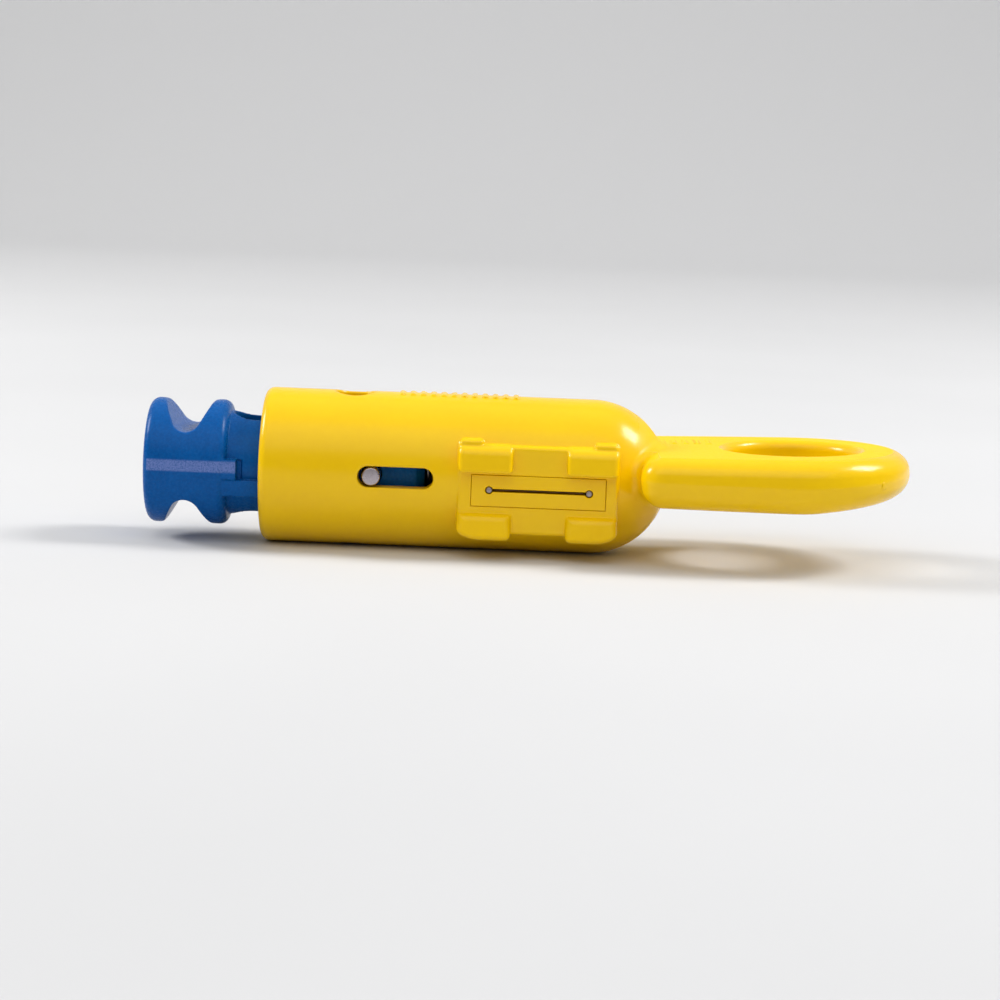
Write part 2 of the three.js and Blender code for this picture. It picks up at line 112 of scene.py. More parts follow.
def obround(u, v, start, end, radius):
    """Distance in a plane to a slot with round ends, lying along u."""
    return np.hypot(u - np.clip(u, start + radius, end - radius), v) - radius


def ease(v, low, high):
    t = np.clip((v - low) / (high - low), 0, 1)
    return t * t * (3 - 2 * t)


def long_corner(u, v, a, b):
    """Intersection whose corner is an ellipse, a long in u and b in v."""
    squeeze = b / a
    p = np.maximum(b + u * squeeze, 0)
    q = np.maximum(b + v, 0)
    far = np.hypot(p, q)
    steep = np.where(far > 1e-6, np.hypot(p * squeeze, q) / np.maximum(far, 1e-6), 1)
    return (np.minimum(-b, np.maximum(u * squeeze, v)) + far) / steep


def hexagon(u, v, across_flats):
    sides = [np.abs(u * math.cos(t) + v * math.sin(t)) for t in (0, math.pi / 3, 2 * math.pi / 3)]
    return np.maximum(np.maximum(sides[0], sides[1]), sides[2]) - across_flats / 2


# ------------------------------------------------------------------ from field to mesh


def ruler(*stretches):
    """Grid coordinates from (start, end, step) stretches that follow on from each other."""
    marks = []
    for start, end, step in stretches:
        count = max(2, round((end - start) / (step * FINE)))
        marks.extend(np.linspace(start, end, count, endpoint=False))
    marks.append(stretches[-1][1])
    return np.array(marks, np.float32)


def sample(field, xs, ys, zs):
    """The field at each grid point, worked out in slices to save memory."""
    slices = []
    for i in range(0, len(xs), SLICE):
        part = xs[i:i + SLICE]
        values = field(part[:, None, None], ys[None, :, None], zs[None, None, :])
        slices.append(np.broadcast_to(values, (len(part), len(ys), len(zs))).astype(np.float32))
    return np.concatenate(slices)


def slope(field, points, reach=0.02):
    """The field and its gradient at loose points."""
    here = field(*points.T)
    gradient = np.empty_like(points)
    for axis in range(3):
        step = np.zeros(3)
        step[axis] = reach
        gradient[:, axis] = (field(*(points + step).T) - field(*(points - step).T)) / (2 * reach)
    return here, gradient


def surface_net(values, xs, ys, zs):
    """One vertex in each cell that the surface crosses, and one quad round each edge that it crosses."""
    inside = values < 0
    corners = [(i, j, k) for i in (0, 1) for j in (0, 1) for k in (0, 1)]
    shape = tuple(n - 1 for n in values.shape)
    full = sum(inside[i:i + shape[0], j:j + shape[1], k:k + shape[2]].astype(np.int8) for i, j, k in corners)
    cells = np.argwhere((full > 0) & (full < 8))
    number = np.full(shape, -1, np.int64)
    number[tuple(cells.T)] = np.arange(len(cells))

    total = np.zeros((len(cells), 3))
    crossings = np.zeros(len(cells))
    marks = (xs, ys, zs)
    for axis in range(3):
        for start in corners:
            if start[axis]:
                continue
            a = cells + start
            b = a.copy()
            b[:, axis] += 1
            fa = values[tuple(a.T)].astype(float)
            fb = values[tuple(b.T)].astype(float)
            cross = (fa < 0) != (fb < 0)
            t = np.where(cross, fa / np.where(cross, fa - fb, 1), 0)
            for k in range(3):
                pa = marks[k][a[:, k]]
                pb = marks[k][b[:, k]]
                total[:, k] += np.where(cross, pa + t * (pb - pa), 0)
            crossings += cross
    points = total / crossings[:, None]

    quads = []
    for axis in range(3):
        low = [slice(None)] * 3
        high = [slice(None)] * 3
        low[axis] = slice(None, -1)
        high[axis] = slice(1, None)
        edges = np.argwhere(inside[tuple(low)] != inside[tuple(high)])
        p, q = (axis + 1) % 3, (axis + 2) % 3
        keep = (edges[:, p] > 0) & (edges[:, q] > 0) & (edges[:, p] < shape[p]) & (edges[:, q] < shape[q])
        edges = edges[keep]
        around = []
        for dp, dq in ((-1, -1), (0, -1), (0, 0), (-1, 0)):
            cell = edges.copy()
            cell[:, p] += dp
            cell[:, q] += dq
            around.append(number[tuple(cell.T)])
        ring = np.stack(around, 1)
        outwards = inside[tuple(edges.T)]
        quads.append(np.where(outwards[:, None], ring, ring[:, ::-1]))
    return points, np.concatenate(quads)


def field_piece(name, field, xs, ys, zs, settle=SETTLE):
    """A mesh of where the field is zero: net first, then each vertex is drawn onto the true surface."""
    points, quads = surface_net(sample(field, xs, ys, zs), xs, ys, zs)
    for _ in range(SETTLING):
        value, gradient = slope(field, points)
        length = np.maximum((gradient ** 2).sum(1), 0.2)
        move = -value[:, None] * gradient / length[:, None]
        size = np.maximum(np.linalg.norm(move, axis=1), 1e-9)
        points += move * np.minimum(1, settle / size)[:, None]
    _, normals = slope(field, points)
    normals /= np.maximum(np.linalg.norm(normals, axis=1), 1e-9)[:, None]
    return mesh_piece(name, points, quads, normals)


def mesh_piece(name, points, faces, normals=None):
    """A smooth-shaded object from points in tool millimetres."""
    place = np.asarray(points, float) * MM
    place[:, 0] += MOUTH
    mesh = bpy.data.meshes.new(name)
    mesh.from_pydata(place.tolist(), [], [list(map(int, face)) for face in faces])
    mesh.validate()
    mesh.polygons.foreach_set("use_smooth", [True] * len(mesh.polygons))
    if normals is not None:
        mesh.normals_split_custom_set_from_vertices(normals.tolist())
    piece = bpy.data.objects.new(name, mesh)
    bpy.context.scene.collection.objects.link(piece)
    return piece


# ------------------------------------------------------------------ housing

BODY_R = 12.7
DOME_X = 54.0
MOUTH_ROUND = 1.4
BORE = ((10.6, 3.4, 0), (8.7, 35.4, 0.72), (5.6, 43.5, 0))     # (radius, how far in, slope of its end)
TAPERED = 1.8                              # length of a bore's narrowing end
TUBE_HOLE = {"x": 14.7, "r": 3.2, "round": 0.4}
PIN_SLOT = {"start": 16.1, "end": 28.3, "r": 1.7}
KEYWAY = {"low": -4.95, "high": 1.85, "r": 10.35, "end": 12.0}
TICKS = {
    "first": 22.1, "pitch": 1.7, "count": 12, "length": 0.8, "middle": 0, "width": 5.2, "height": 0.12,
}
WEB_TICKS = {
    "first": 65.6, "pitch": 1.9, "count": 5, "length": 0.8, "middle": 6.5, "width": 5.5, "height": 0.22,
}

BOSS = {"start": 32.3, "end": 58.1, "low": -9.3, "high": 6.7, "front": -14.8, "floor": -12.95, "root": -5.0}
BASE = {"low": -8.45, "high": 5.85}        # how far the boss reaches between its lugs
EAR = 3.9                                  # how far the upper lugs' higher outer ends reach inwards
CROSS = {"middle": 45.4, "half": 4.4}
LENGTHWISE = {"middle": -1.725, "half": 3.325}

PLATE = {"start": 34.5, "end": 56.1, "low": -3.95, "high": 1.1, "thick": 1.3}
BLOCK = {"start": 35.8, "end": 55.0, "low": -3.6, "high": 0.75, "back": -8.1}
SLIT = {"x": 45.4, "z": -1.35, "half": 0.25, "length": 16.1, "hole": 0.62, "deep": -8.3}
GATE = {"x": 100.5, "y": -14.44, "z": 2.1, "r": 0.65, "height": 0.1}

LOOP = {
    "neck": 61.5, "corner": 3.5, "hole": 87.0, "half": 20.0, "end": 106.5, "root": 57.0,
    "top": 6.02, "lean": 0.026, "bottom": -2.85, "taper": 0.119, "taper_x": 88.5,
    "edge": 2.7, "hole_r": 10.9, "rim": 1.5,
}


def body_field(x, rho):
    barrel = np.where(x > DOME_X, np.hypot(x - DOME_X, rho), rho) - BODY_R
    return common(barrel, -x, MOUTH_ROUND)


def loop_field(x, y, z):
    """The finger loop: a wide plate with a round end, leaning up a little, thinner towards its end."""
    widen = np.clip((LOOP["hole"] - x) / (LOOP["hole"] - LOOP["neck"] - LOOP["corner"]), 0, 1)
    sides = np.abs(y) - (LOOP["half"] - widen ** 2)
    stretch = LOOP["half"] / (LOOP["end"] - LOOP["hole"])
    end = np.hypot((x - LOOP["hole"]) * stretch, y) - LOOP["half"]
    outline = np.where(x > LOOP["hole"], end, sides)
    outline = common(outline, LOOP["neck"] - x, LOOP["corner"])
    neck = np.maximum(slab(x, LOOP["root"], LOOP["neck"] + 4), np.abs(y) - BODY_R / 2)
    outline = np.minimum(outline, neck)
    top = z - LOOP["top"] - LOOP["lean"] * (x - LOOP["hole"])
    bend = x - LOOP["taper_x"]
    rise = 0.5 * (bend + np.sqrt(bend ** 2 + 4.0))
    bottom = LOOP["bottom"] + LOOP["taper"] * rise - z
    level = z - (LOOP["top"] + LOOP["bottom"]) / 2 - 0.07 * rise
    outline = outline + 0.10 * np.sqrt(level ** 2 + 0.02) + level ** 2 / 28
    plate = common(common(outline, top, LOOP["edge"]), bottom, LOOP["edge"])
    hole = np.hypot(x - LOOP["hole"], y) - LOOP["hole_r"]
    return carve(plate, hole, LOOP["rim"])


def boss_field(x, y, z):
    """A base with four lugs on it, which leave a channel along the tool and one across it."""
    ends = slab(x, BOSS["start"], BOSS["end"])
    along = LENGTHWISE["half"] - np.abs(z - LENGTHWISE["middle"])
    across = CROSS["half"] - np.abs(x - CROSS["middle"])
    top_lean = 0.22 * np.maximum(z - 1.6, 0)
    low_lean = 0.28 * np.clip(z + 8.6, 0, 4)
    lean = np.where(z > LENGTHWISE["middle"], top_lean, low_lean)
    face = BOSS["front"] + lean - y
    upper = common(common(face, z - BASE["high"], 1.5), along, 0.4)
    upper = common(common(upper, ends, 0.8), across, 0.7)
    lower = common(long_corner(ends, BOSS["low"] - z, 3.8, 1.7), across, 0.9)
    lower = common(common(lower, along, 0.6), face, 0.9 + 0.3 * ease(z, -8.0, -6.4))
    lugs = np.where(z < LENGTHWISE["middle"], lower, upper)
    lugs = np.maximum(lugs, y - BOSS["root"])
    base = common(ends, slab(z, BASE["low"], BOSS["high"]), 1.0)
    between = np.maximum(BASE["high"] - z, slab(x, BOSS["start"] + EAR, BOSS["end"] - EAR))
    base = carve(base, between, 0.5)
    base = common(base, BOSS["floor"] - y, 0.6)
    base = np.maximum(base, y - BOSS["root"])
    return union(base, lugs, 0.3)


def row_of_ticks(x, y, z, ticks, skin):
    """Plain raised bars across the tool, standing a little above the skin height."""
    last = ticks["count"] - 1
    nearest = np.clip(np.round((x - ticks["first"] - ticks["length"] / 2) / ticks["pitch"]), 0, last)
    along = x - ticks["first"] - ticks["length"] / 2 - nearest * ticks["pitch"]
    bar = common(np.abs(along) - ticks["length"] / 2, np.abs(y - ticks["middle"]) - ticks["width"] / 2, 0.3)
    top = z - skin - ticks["height"]
    return common(np.maximum(bar, skin - 1.2 - z), top, 0.15)


def housing_field(x, y, z):
    rho = np.hypot(y, z)
    solid = union(body_field(x, rho), loop_field(x, y, z), 1.9)
    solid = union(solid, boss_field(x, y, z), 0.15)
    solid = union(solid, row_of_ticks(x, y, z, TICKS, BODY_R), 0.15)
    web = LOOP["top"] + LOOP["lean"] * (x - LOOP["hole"])
    solid = union(solid, row_of_ticks(x, y, z, WEB_TICKS, web), 0.12)
    gate = np.sqrt((x - GATE["x"]) ** 2 + (y - GATE["y"]) ** 2 + (z - GATE["z"]) ** 2) - GATE["r"]
    solid = union(solid, np.maximum(gate, solid - GATE["height"]), 0.05)
    for radius, depth, slope in BORE:
        wall = radius - slope * np.clip(x - depth + TAPERED, 0, TAPERED)
        solid = carve(solid, np.maximum(rho - wall, x - depth), 0.5 if depth < 5 else 0.2)
    key = np.maximum(slab(z, KEYWAY["low"], KEYWAY["high"]), np.maximum(rho - KEYWAY["r"], y))
    solid = carve(solid, np.maximum(key, x - KEYWAY["end"]), 0.2)
    tube = np.hypot(x - TUBE_HOLE["x"], y) - TUBE_HOLE["r"]
    solid = carve(solid, tube, TUBE_HOLE["round"])
    pin = obround(x, z, PIN_SLOT["start"], PIN_SLOT["end"], PIN_SLOT["r"])
    solid = carve(solid, np.maximum(pin, np.abs(z) - 3), 0.3)
    slack = 0.04
    recess = brick(
        x, y, z, (PLATE["start"] - slack, -30, PLATE["low"] - slack),
        (PLATE["end"] + slack, BOSS["floor"] + PLATE["thick"] + 0.3, PLATE["high"] + slack))
    pocket = brick(
        x, y, z, (BLOCK["start"] - 0.3, -30, BLOCK["low"] - 0.3),
        (BLOCK["end"] + 0.3, BLOCK["back"] + 0.3, BLOCK["high"] + 0.3))
    return carve(solid, np.minimum(recess, pocket), 0.1)


def insert_field(x, y, z):
    """The flush plate with its slit, and the block behind it that holds the blade."""
    plate = brick(
        x, y, z, (PLATE["start"], BOSS["floor"], PLATE["low"]),
        (PLATE["end"], BOSS["floor"] + PLATE["thick"], PLATE["high"]), 0.06)
    block = brick(
        x, y, z, (BLOCK["start"], BOSS["floor"] + 0.5, BLOCK["low"]),
        (BLOCK["end"], BLOCK["back"], BLOCK["high"]), 0.2)
    solid = np.minimum(plate, block)
    half = SLIT["length"] / 2
    slit = np.maximum(np.abs(x - SLIT["x"]) - half, np.abs(z - SLIT["z"]) - SLIT["half"])
    ends = np.hypot(np.abs(x - SLIT["x"]) - half, z - SLIT["z"]) - SLIT["hole"]
    return carve(solid, np.maximum(np.minimum(slit, ends), y - SLIT["deep"]), 0.14)


# ------------------------------------------------------------------ plunger

PLUNGER = {"start": -18.9, "end": 26.8, "flange": 10.3, "flange_end": -5.5, "r": 8.55, "chamfer": 1.4}
NOTCH = {"x": -12.3, "floor": 5.55, "floor_r": 2.4, "crest": 4.8, "lobe_r": 1.3}
WINDOW = {"start": -5.2, "end": 10.3, "r": 3.9}
RIB = {"start": -6.2, "end": 3.0, "low": -4.6, "high": -1.8, "r": 10.0}
PAD = {"end": -3.7, "low": -1.8, "high": 1.5, "r": 10.1}
FLAT = {"depth": 10.24, "turn": math.radians(2.1)}      # a narrow flat along the flange's front
MATT_AND_PAINTED_HIGHLIGHT_BAND = {"start": -18.2, "end": -3.8, "low": -0.6, "high": 1.2}      # the rougher strip on that flat, painted lighter as a highlight
NICK = {"start": -3.7, "end": -2.9, "low": -1.75, "high": 1.4, "depth": 0.55}
PIN = {"x": 18.25, "r": 1.5, "half": 12.3}
SCREW = {"x": 12.9, "r": 1.5, "head_r": 2.75, "head_top": 7.5, "head_deep": 1.6, "low": -7.0}
NUT = {"flats": 5.5, "low": -6.6, "high": -4.2}
SPRING = {
    "start": 21.55, "end": 43.15, "wire": 0.5, "r": 4.5, "coils": 9,
    "closed": 0.06,                        # share of the wire at each end that lies close
    "open_pitch": 0.86,                    # share of the length taken up by the open turns
}
POCKET = {"x": 21.2, "r": 5.5}             # the spring's seat in the plunger


def notch_depth(along):
    """Height of the notch's floor at a distance from its middle, and the slope there."""
    lobe_z = PLUNGER["flange"] + 0.12 - NOTCH["lobe_r"]
    floor_z = NOTCH["floor"] + NOTCH["floor_r"]
    reach = math.hypot(NOTCH["crest"], lobe_z - floor_z)
    flank = math.atan2(lobe_z - floor_z, NOTCH["crest"])
    flank += math.asin((NOTCH["floor_r"] + NOTCH["lobe_r"]) / reach)
    foot = NOTCH["floor_r"] * math.sin(flank)
    head = NOTCH["crest"] - NOTCH["lobe_r"] * math.sin(flank)
    s = np.abs(along)
    low = floor_z - np.sqrt(np.maximum(NOTCH["floor_r"] ** 2 - np.minimum(s, foot) ** 2, 0))
    straight = (np.clip(s, foot, head) - foot) * math.tan(flank)
    over = NOTCH["crest"] - np.clip(s, head, NOTCH["crest"])
    crown = np.sqrt(np.maximum(NOTCH["lobe_r"] ** 2 - over ** 2, 0)) - NOTCH["lobe_r"] * math.cos(flank)
    height = low + straight + crown
    upper = np.where(s < head, math.sin(flank), over / NOTCH["lobe_r"])
    tilt = np.where(s < foot, s / NOTCH["floor_r"], upper)
    return height, np.sqrt(np.maximum(1 - np.minimum(tilt, 1) ** 2, 0.05))


def plunger_field(x, y, z):
    rho = np.hypot(y, z)
    flange = common(rho - PLUNGER["flange"], PLUNGER["start"] - x, 1.5)
    flange = common(flange, x - PLUNGER["flange_end"], 1.5)
    height, cosine = notch_depth(x - NOTCH["x"])
    beyond = 0.35 * np.maximum(np.abs(x - NOTCH["x"]) - NOTCH["crest"], 0)
    cut = (height + beyond - np.abs(z)) * cosine
    flange = carve(flange, cut, 0.3)
    flat = z * math.sin(FLAT["turn"]) - y * math.cos(FLAT["turn"]) - FLAT["depth"]
    flange = common(flange, flat, 0.1)
    chamfer = (rho - PLUNGER["r"] + x - PLUNGER["end"] + PLUNGER["chamfer"]) * math.sqrt(0.5)
    body = common(common(rho - PLUNGER["r"], x - PLUNGER["end"], 0.1), chamfer, 0.2)
    body = np.maximum(body, PLUNGER["flange_end"] - 1 - x)
    rib = common(slab(z, RIB["low"], RIB["high"]), rho - RIB["r"], 0.25)
    rib = common(rib, slab(x, RIB["start"], RIB["end"]), 0.25)
    pad = common(slab(z, PAD["low"], PAD["high"]), rho - PAD["r"], 0.3)
    pad = common(pad, slab(x, PLUNGER["flange_end"] - 1.5, PAD["end"]), 0.2)
    keys = np.maximum(np.minimum(rib, pad), y + 5)
    solid = union(union(flange, body, 0.35), keys, 0.12)
    window = obround(x, y, WINDOW["start"], WINDOW["end"], WINDOW["r"])
    solid = carve(solid, window, 0.2)
    nick = brick(
        x, y, z, (NICK["start"], -20, NICK["low"]), (NICK["end"], NICK["depth"] - PLUNGER["r"], NICK["high"]))
    solid = carve(solid, nick, 0.12)
    blade_slot = brick(x, y, z, (6, -3.9, -0.6), (15.9, 3.9, 0.6))
    solid = carve(solid, blade_slot, 0.1)
    away = np.hypot(x - SCREW["x"], y)
    seat = SCREW["head_top"] - 0.3
    cone = np.clip(z - (seat - SCREW["head_deep"]), 0, 1.3)
    screw = away - (SCREW["r"] + 0.25 + cone * 0.94)
    solid = carve(solid, screw, 0.15)
    nut = np.maximum(hexagon(y, x - SCREW["x"], NUT["flats"] + 0.5), z - NUT["high"] - 0.2)
    solid = carve(solid, nut, 0.15)
    solid = carve(solid, np.maximum(rho - POCKET["r"], POCKET["x"] - x), 0.3)
    pin = np.hypot(x - PIN["x"], z) - PIN["r"] - 0.12
    return carve(solid, pin, 0.1)


def screw_field(x, y, z):
    away = np.hypot(x - SCREW["x"], y)
    shank = common(away - SCREW["r"], SCREW["low"] - z, 0.25)
    shank = np.maximum(shank, z - SCREW["head_top"] + 0.5)
    thread = 0.12 * np.abs(((z + np.arctan2(y, x - SCREW["x"]) / (2 * math.pi) * 0.5) % 0.5) / 0.25 - 1)
    shank = shank + np.where(z < 3.5, thread, 0)
    rise = SCREW["head_top"] - z
    head = away - np.clip(SCREW["head_r"] - np.maximum(rise - 0.3, 0), 0.5, SCREW["head_r"])
    head = common(head * 0.8, -rise, 0.12)
    head = np.maximum(head, rise - SCREW["head_deep"])
    socket = np.maximum(hexagon(y, x - SCREW["x"], 2.0), rise - 0.9)
    return carve(np.minimum(head, shank), socket, 0.06)


def nut_field(x, y, z):
    away = np.hypot(x - SCREW["x"], y)
    tall = slab(z, NUT["low"], NUT["high"])
    hexed = common(hexagon(y, x - SCREW["x"], NUT["flats"]), tall, 0.08)
    bevel = (away - 3.0 + 0.55 * (tall + 0.5)) * 0.85
    return carve(np.maximum(hexed, bevel), away - SCREW["r"] - 0.2, 0.15)


# ------------------------------------------------------------------ turned and coiled pieces


def rod_piece(name, x, z, profile, sides=64):
    """A turned rod across the tool; the profile is (y, radius) points from front to back."""
    points = []
    for y, r in profile:
        for i in range(sides):
            a = 2 * math.pi * i / sides
            points.append((x + r * math.cos(a), y, z + r * math.sin(a)))
    faces = []
    for ring in range(len(profile) - 1):
        for i in range(sides):
            j = (i + 1) % sides
            low, high = ring * sides, (ring + 1) * sides
            faces.append((low + i, high + i, high + j, low + j))
    faces.append(tuple(range(sides)))
    faces.append(tuple(reversed(range((len(profile) - 1) * sides, len(profile) * sides))))
    return mesh_piece(name, points, faces)


def rounded_end(y, r, edge, inwards, steps=5):
    """(y, radius) points of a rod's rounded end; inwards is +1 at the front and -1 at the back."""
    turns = [math.pi / 2 * i / steps for i in range(steps + 1)]
    return [(y + inwards * edge * (1 - math.sin(t)), r - edge * (1 - math.cos(t))) for t in reversed(turns)]


def spring_piece(name):
    """The return spring: a round wire wound evenly, its end turns lying close, ends cut square."""
    start, end, wire = SPRING["start"], SPRING["end"], SPRING["wire"]
    sides, per_turn = 14, 48
    steps = per_turn * SPRING["coils"]
    closed, share = SPRING["closed"], SPRING["open_pitch"]

    def centre(t):
        spread = np.clip((t - closed) / (1 - 2 * closed), 0, 1)
        x = start + wire + (end - start - 2 * wire) * (share * spread + (1 - share) * t)
        a = 2 * math.pi * SPRING["coils"] * t
        return np.array([x, SPRING["r"] * math.cos(a), SPRING["r"] * math.sin(a)])

    points, faces = [], []
    for i in range(steps + 1):
        t = i / steps
        middle = centre(t)
        forward = centre(min(t + 1e-3, 1)) - centre(max(t - 1e-3, 0))
        forward /= np.linalg.norm(forward)
        outward = np.array([0, middle[1], middle[2]]) / SPRING["r"]
        side = np.cross(forward, outward)
        for k in range(sides):
            a = 2 * math.pi * k / sides
            points.append(middle + wire * (math.cos(a) * outward + math.sin(a) * side))
    for i in range(steps):
        for k in range(sides):
            j = (k + 1) % sides
            faces.append((i * sides + k, i * sides + j, (i + 1) * sides + j, (i + 1) * sides + k))
    faces.append(tuple(reversed(range(sides))))
    faces.append(tuple(range(steps * sides, (steps + 1) * sides)))
    return mesh_piece(name, points, faces)


# ------------------------------------------------------------------ materials


class Nodes:
    """A short way to write a node material."""

    def __init__(self, name):
        self.material = bpy.data.materials.new(name)
        self.material.use_nodes = True
        self.tree = self.material.node_tree
        self.shader = self.tree.nodes["Principled BSDF"]
        self.place = self.tree.nodes.new("ShaderNodeTexCoord").outputs["Object"]

    def put(self, **sockets):
        for name, value in sockets.items():
            self.shader.inputs[name.replace("_", " ")].default_value = value

    def noise(self, scale, detail=3.0, rough=0.55, stretch=None):
        node = self.tree.nodes.new("ShaderNodeTexNoise")
        node.inputs["Scale"].default_value = scale
        node.inputs["Detail"].default_value = detail
        node.inputs["Roughness"].default_value = rough
        self.tree.links.new(self.stretched(stretch), node.inputs["Vector"])
        return node.outputs["Fac"]

    def stretched(self, stretch):
        if stretch is None:
            return self.place
        node = self.tree.nodes.new("ShaderNodeMapping")
        node.inputs["Scale"].default_value = stretch
        self.tree.links.new(self.place, node.inputs["Vector"])
        return node.outputs["Vector"]

    def ramp(self, source, *stops):
        node = self.tree.nodes.new("ShaderNodeValToRGB")
        while len(node.color_ramp.elements) < len(stops):
            node.color_ramp.elements.new(0.5)
        for element, (at, colour) in zip(node.color_ramp.elements, stops):
            element.position = at
            element.color = (*colour, 1) if isinstance(colour, tuple) else (colour, colour, colour, 1)
        self.tree.links.new(source, node.inputs["Fac"])
        return node.outputs["Color"]

    def mix(self, share, a, b):
        node = self.tree.nodes.new("ShaderNodeMix")
        node.data_type = "RGBA"
        for socket, value in zip((0, 6, 7), (share, a, b)):
            if isinstance(value, bpy.types.NodeSocket):
                self.tree.links.new(value, node.inputs[socket])
            elif isinstance(value, tuple):
                node.inputs[socket].default_value = (*value, 1)
            else:
                node.inputs[socket].default_value = value
        return node.outputs[2]

    def sum(self, kind, a, b=0.0):
        node = self.tree.nodes.new("ShaderNodeMath")
        node.operation = kind
        for socket, value in zip(node.inputs, (a, b)):
            if isinstance(value, bpy.types.NodeSocket):
                self.tree.links.new(value, socket)
            else:
                socket.default_value = value
        return node.outputs[0]

    def axes(self):
        """The three coordinates, in metres."""
        node = self.tree.nodes.new("ShaderNodeSeparateXYZ")
        self.tree.links.new(self.place, node.inputs[0])
        return node.outputs

    def rise(self, value, start, end):
        """0 below start, 1 past end and a smooth step between them."""
        node = self.tree.nodes.new("ShaderNodeMapRange")
        node.interpolation_type = "SMOOTHSTEP"
        self.tree.links.new(value, node.inputs["Value"])
        node.inputs["From Min"].default_value = start
        node.inputs["From Max"].default_value = end
        return node.outputs[0]

    def within(self, value, low, high, soft):
        """1 between low and high, given in metres, fading over a soft edge."""
        inside = self.rise(value, low - soft, low + soft)
        beyond = self.rise(value, high - soft, high + soft)
        return self.sum("MULTIPLY", inside, self.sum("SUBTRACT", 1.0, beyond))

    def bump(self, height, strength, distance, after=None):
        node = self.tree.nodes.new("ShaderNodeBump")
        node.inputs["Strength"].default_value = strength
        node.inputs["Distance"].default_value = distance
        self.tree.links.new(height, node.inputs["Height"])
        if after is not None:
            self.tree.links.new(after, node.inputs["Normal"])
        return node.outputs["Normal"]

    def use(self, **sockets):
        for name, source in sockets.items():
            self.tree.links.new(source, self.shader.inputs[name.replace("_", " ")])


def yellow_plastic():
    """Glossy moulded plastic: even colour with faint flow shades, and a matt panel on the loop's web."""
    n = Nodes("yellow_moulded_plastic")
    flow = n.noise(90, 2, stretch=(0.5, 1, 1))
    colour = n.ramp(flow, (0.3, (0.93, 0.57, 0.0)), (0.7, (0.97, 0.61, 0.0)))
    specks = n.noise(900, 2)
    colour = n.mix(
        0.06, colour, n.ramp(specks, (0.35, (0.82, 0.46, 0.0)), (0.65, (1.0, 0.66, 0.0))))
    x, _, z = n.axes()
    lean = n.sum("MULTIPLY", n.sum("SUBTRACT", x, MOUTH + LOOP["hole"] * MM), LOOP["lean"])
    level = n.sum("SUBTRACT", n.sum("SUBTRACT", z, lean), LOOP["top"] * MM)
    panel = n.rise(level, -0.11 * MM, -0.04 * MM)
    neck = n.rise(x, MOUTH + (LOOP["neck"] - 1) * MM, MOUTH + (LOOP["neck"] + 2) * MM)
    panel = n.sum("MULTIPLY", panel, neck)
    gloss = n.ramp(n.noise(600, 3), (0.3, 0.17), (0.7, 0.25))
    gloss = n.mix(panel, gloss, n.ramp(n.noise(1800, 2), (0.3, 0.5), (0.7, 0.66)))
    skin = n.bump(n.noise(2600, 2), 0.10, 0.00004)
    skin = n.bump(n.noise(160, 1), 0.05, 0.0003, skin)
    grain = n.sum("MULTIPLY", n.noise(3200, 2), panel)
    skin = n.bump(grain, 0.25, 0.00006, skin)
    n.use(Base_Color=colour, Roughness=gloss, Normal=skin)
    n.put(IOR=1.44, Specular_IOR_Level=0.34)
    return n.material


def blue_plastic():
    """Satin moulded plastic with the grain of a spark-eroded mould, and a frosted strip on its front flat
    whose lighter colour is a painted highlight.
    """
    n = Nodes("blue_textured_plastic")
    shade = n.noise(120, 2)
    colour = n.ramp(shade, (0.3, (0.001, 0.082, 0.31)), (0.7, (0.002, 0.102, 0.37)))
    specks = n.ramp(n.noise(2200, 2), (0.35, (0.001, 0.062, 0.26)), (0.65, (0.004, 0.122, 0.43)))
    colour = n.mix(0.35, colour, specks)
    x, y, z = n.axes()
    # The strip along the front flat is rougher, and its lighter colour is a painted highlight standing in for
    # a light's reflection; only front-facing skin gets it.
    matt_and_painted_highlight_strip = n.within(x, MOUTH + MATT_AND_PAINTED_HIGHLIGHT_BAND["start"] * MM, MOUTH + MATT_AND_PAINTED_HIGHLIGHT_BAND["end"] * MM, 0.1 * MM)
    matt_and_painted_highlight_strip = n.sum("MULTIPLY", matt_and_painted_highlight_strip, n.within(z, MATT_AND_PAINTED_HIGHLIGHT_BAND["low"] * MM, MATT_AND_PAINTED_HIGHLIGHT_BAND["high"] * MM, 0.2 * MM))
    front = n.rise(n.sum("MULTIPLY", y, -1.0), 8.8 * MM, 9.0 * MM)
    # Past the nick the same rougher strip and painted highlight carry on more weakly.
    faint_matt_and_painted_highlight = n.within(x, MOUTH + NICK["end"] * MM, MOUTH + 3 * MM, 0.1 * MM)
    faint_matt_and_painted_highlight = n.sum("MULTIPLY", faint_matt_and_painted_highlight, n.within(z, NICK["low"] * MM, NICK["high"] * MM, 0.15 * MM))
    matt_and_painted_highlight_strip = n.sum("MULTIPLY", n.sum("ADD", matt_and_painted_highlight_strip, n.sum("MULTIPLY", faint_matt_and_painted_highlight, 0.35)), front)
    # Pale lilac speckle: the painted highlight colour mixed into the strip.
    painted_highlight_colour = n.ramp(n.noise(4200, 3, 0.7), (0.36, (0.05, 0.12, 0.36)), (0.6, (0.20, 0.27, 0.60)))
    colour = n.mix(n.sum("MULTIPLY", matt_and_painted_highlight_strip, 0.85), colour, painted_highlight_colour)
    grain = n.noise(3000, 3, 0.65)
    gloss = n.ramp(n.noise(1500, 2), (0.3, 0.20), (0.7, 0.34))
    gloss = n.mix(matt_and_painted_highlight_strip, gloss, (0.6, 0.6, 0.6))
    bumpy = n.bump(grain, 0.2, 0.00008)
    n.use(Base_Color=colour, Roughness=gloss, Normal=bumpy)
    n.put(IOR=1.42, Specular_IOR_Level=0.14)
    return n.material


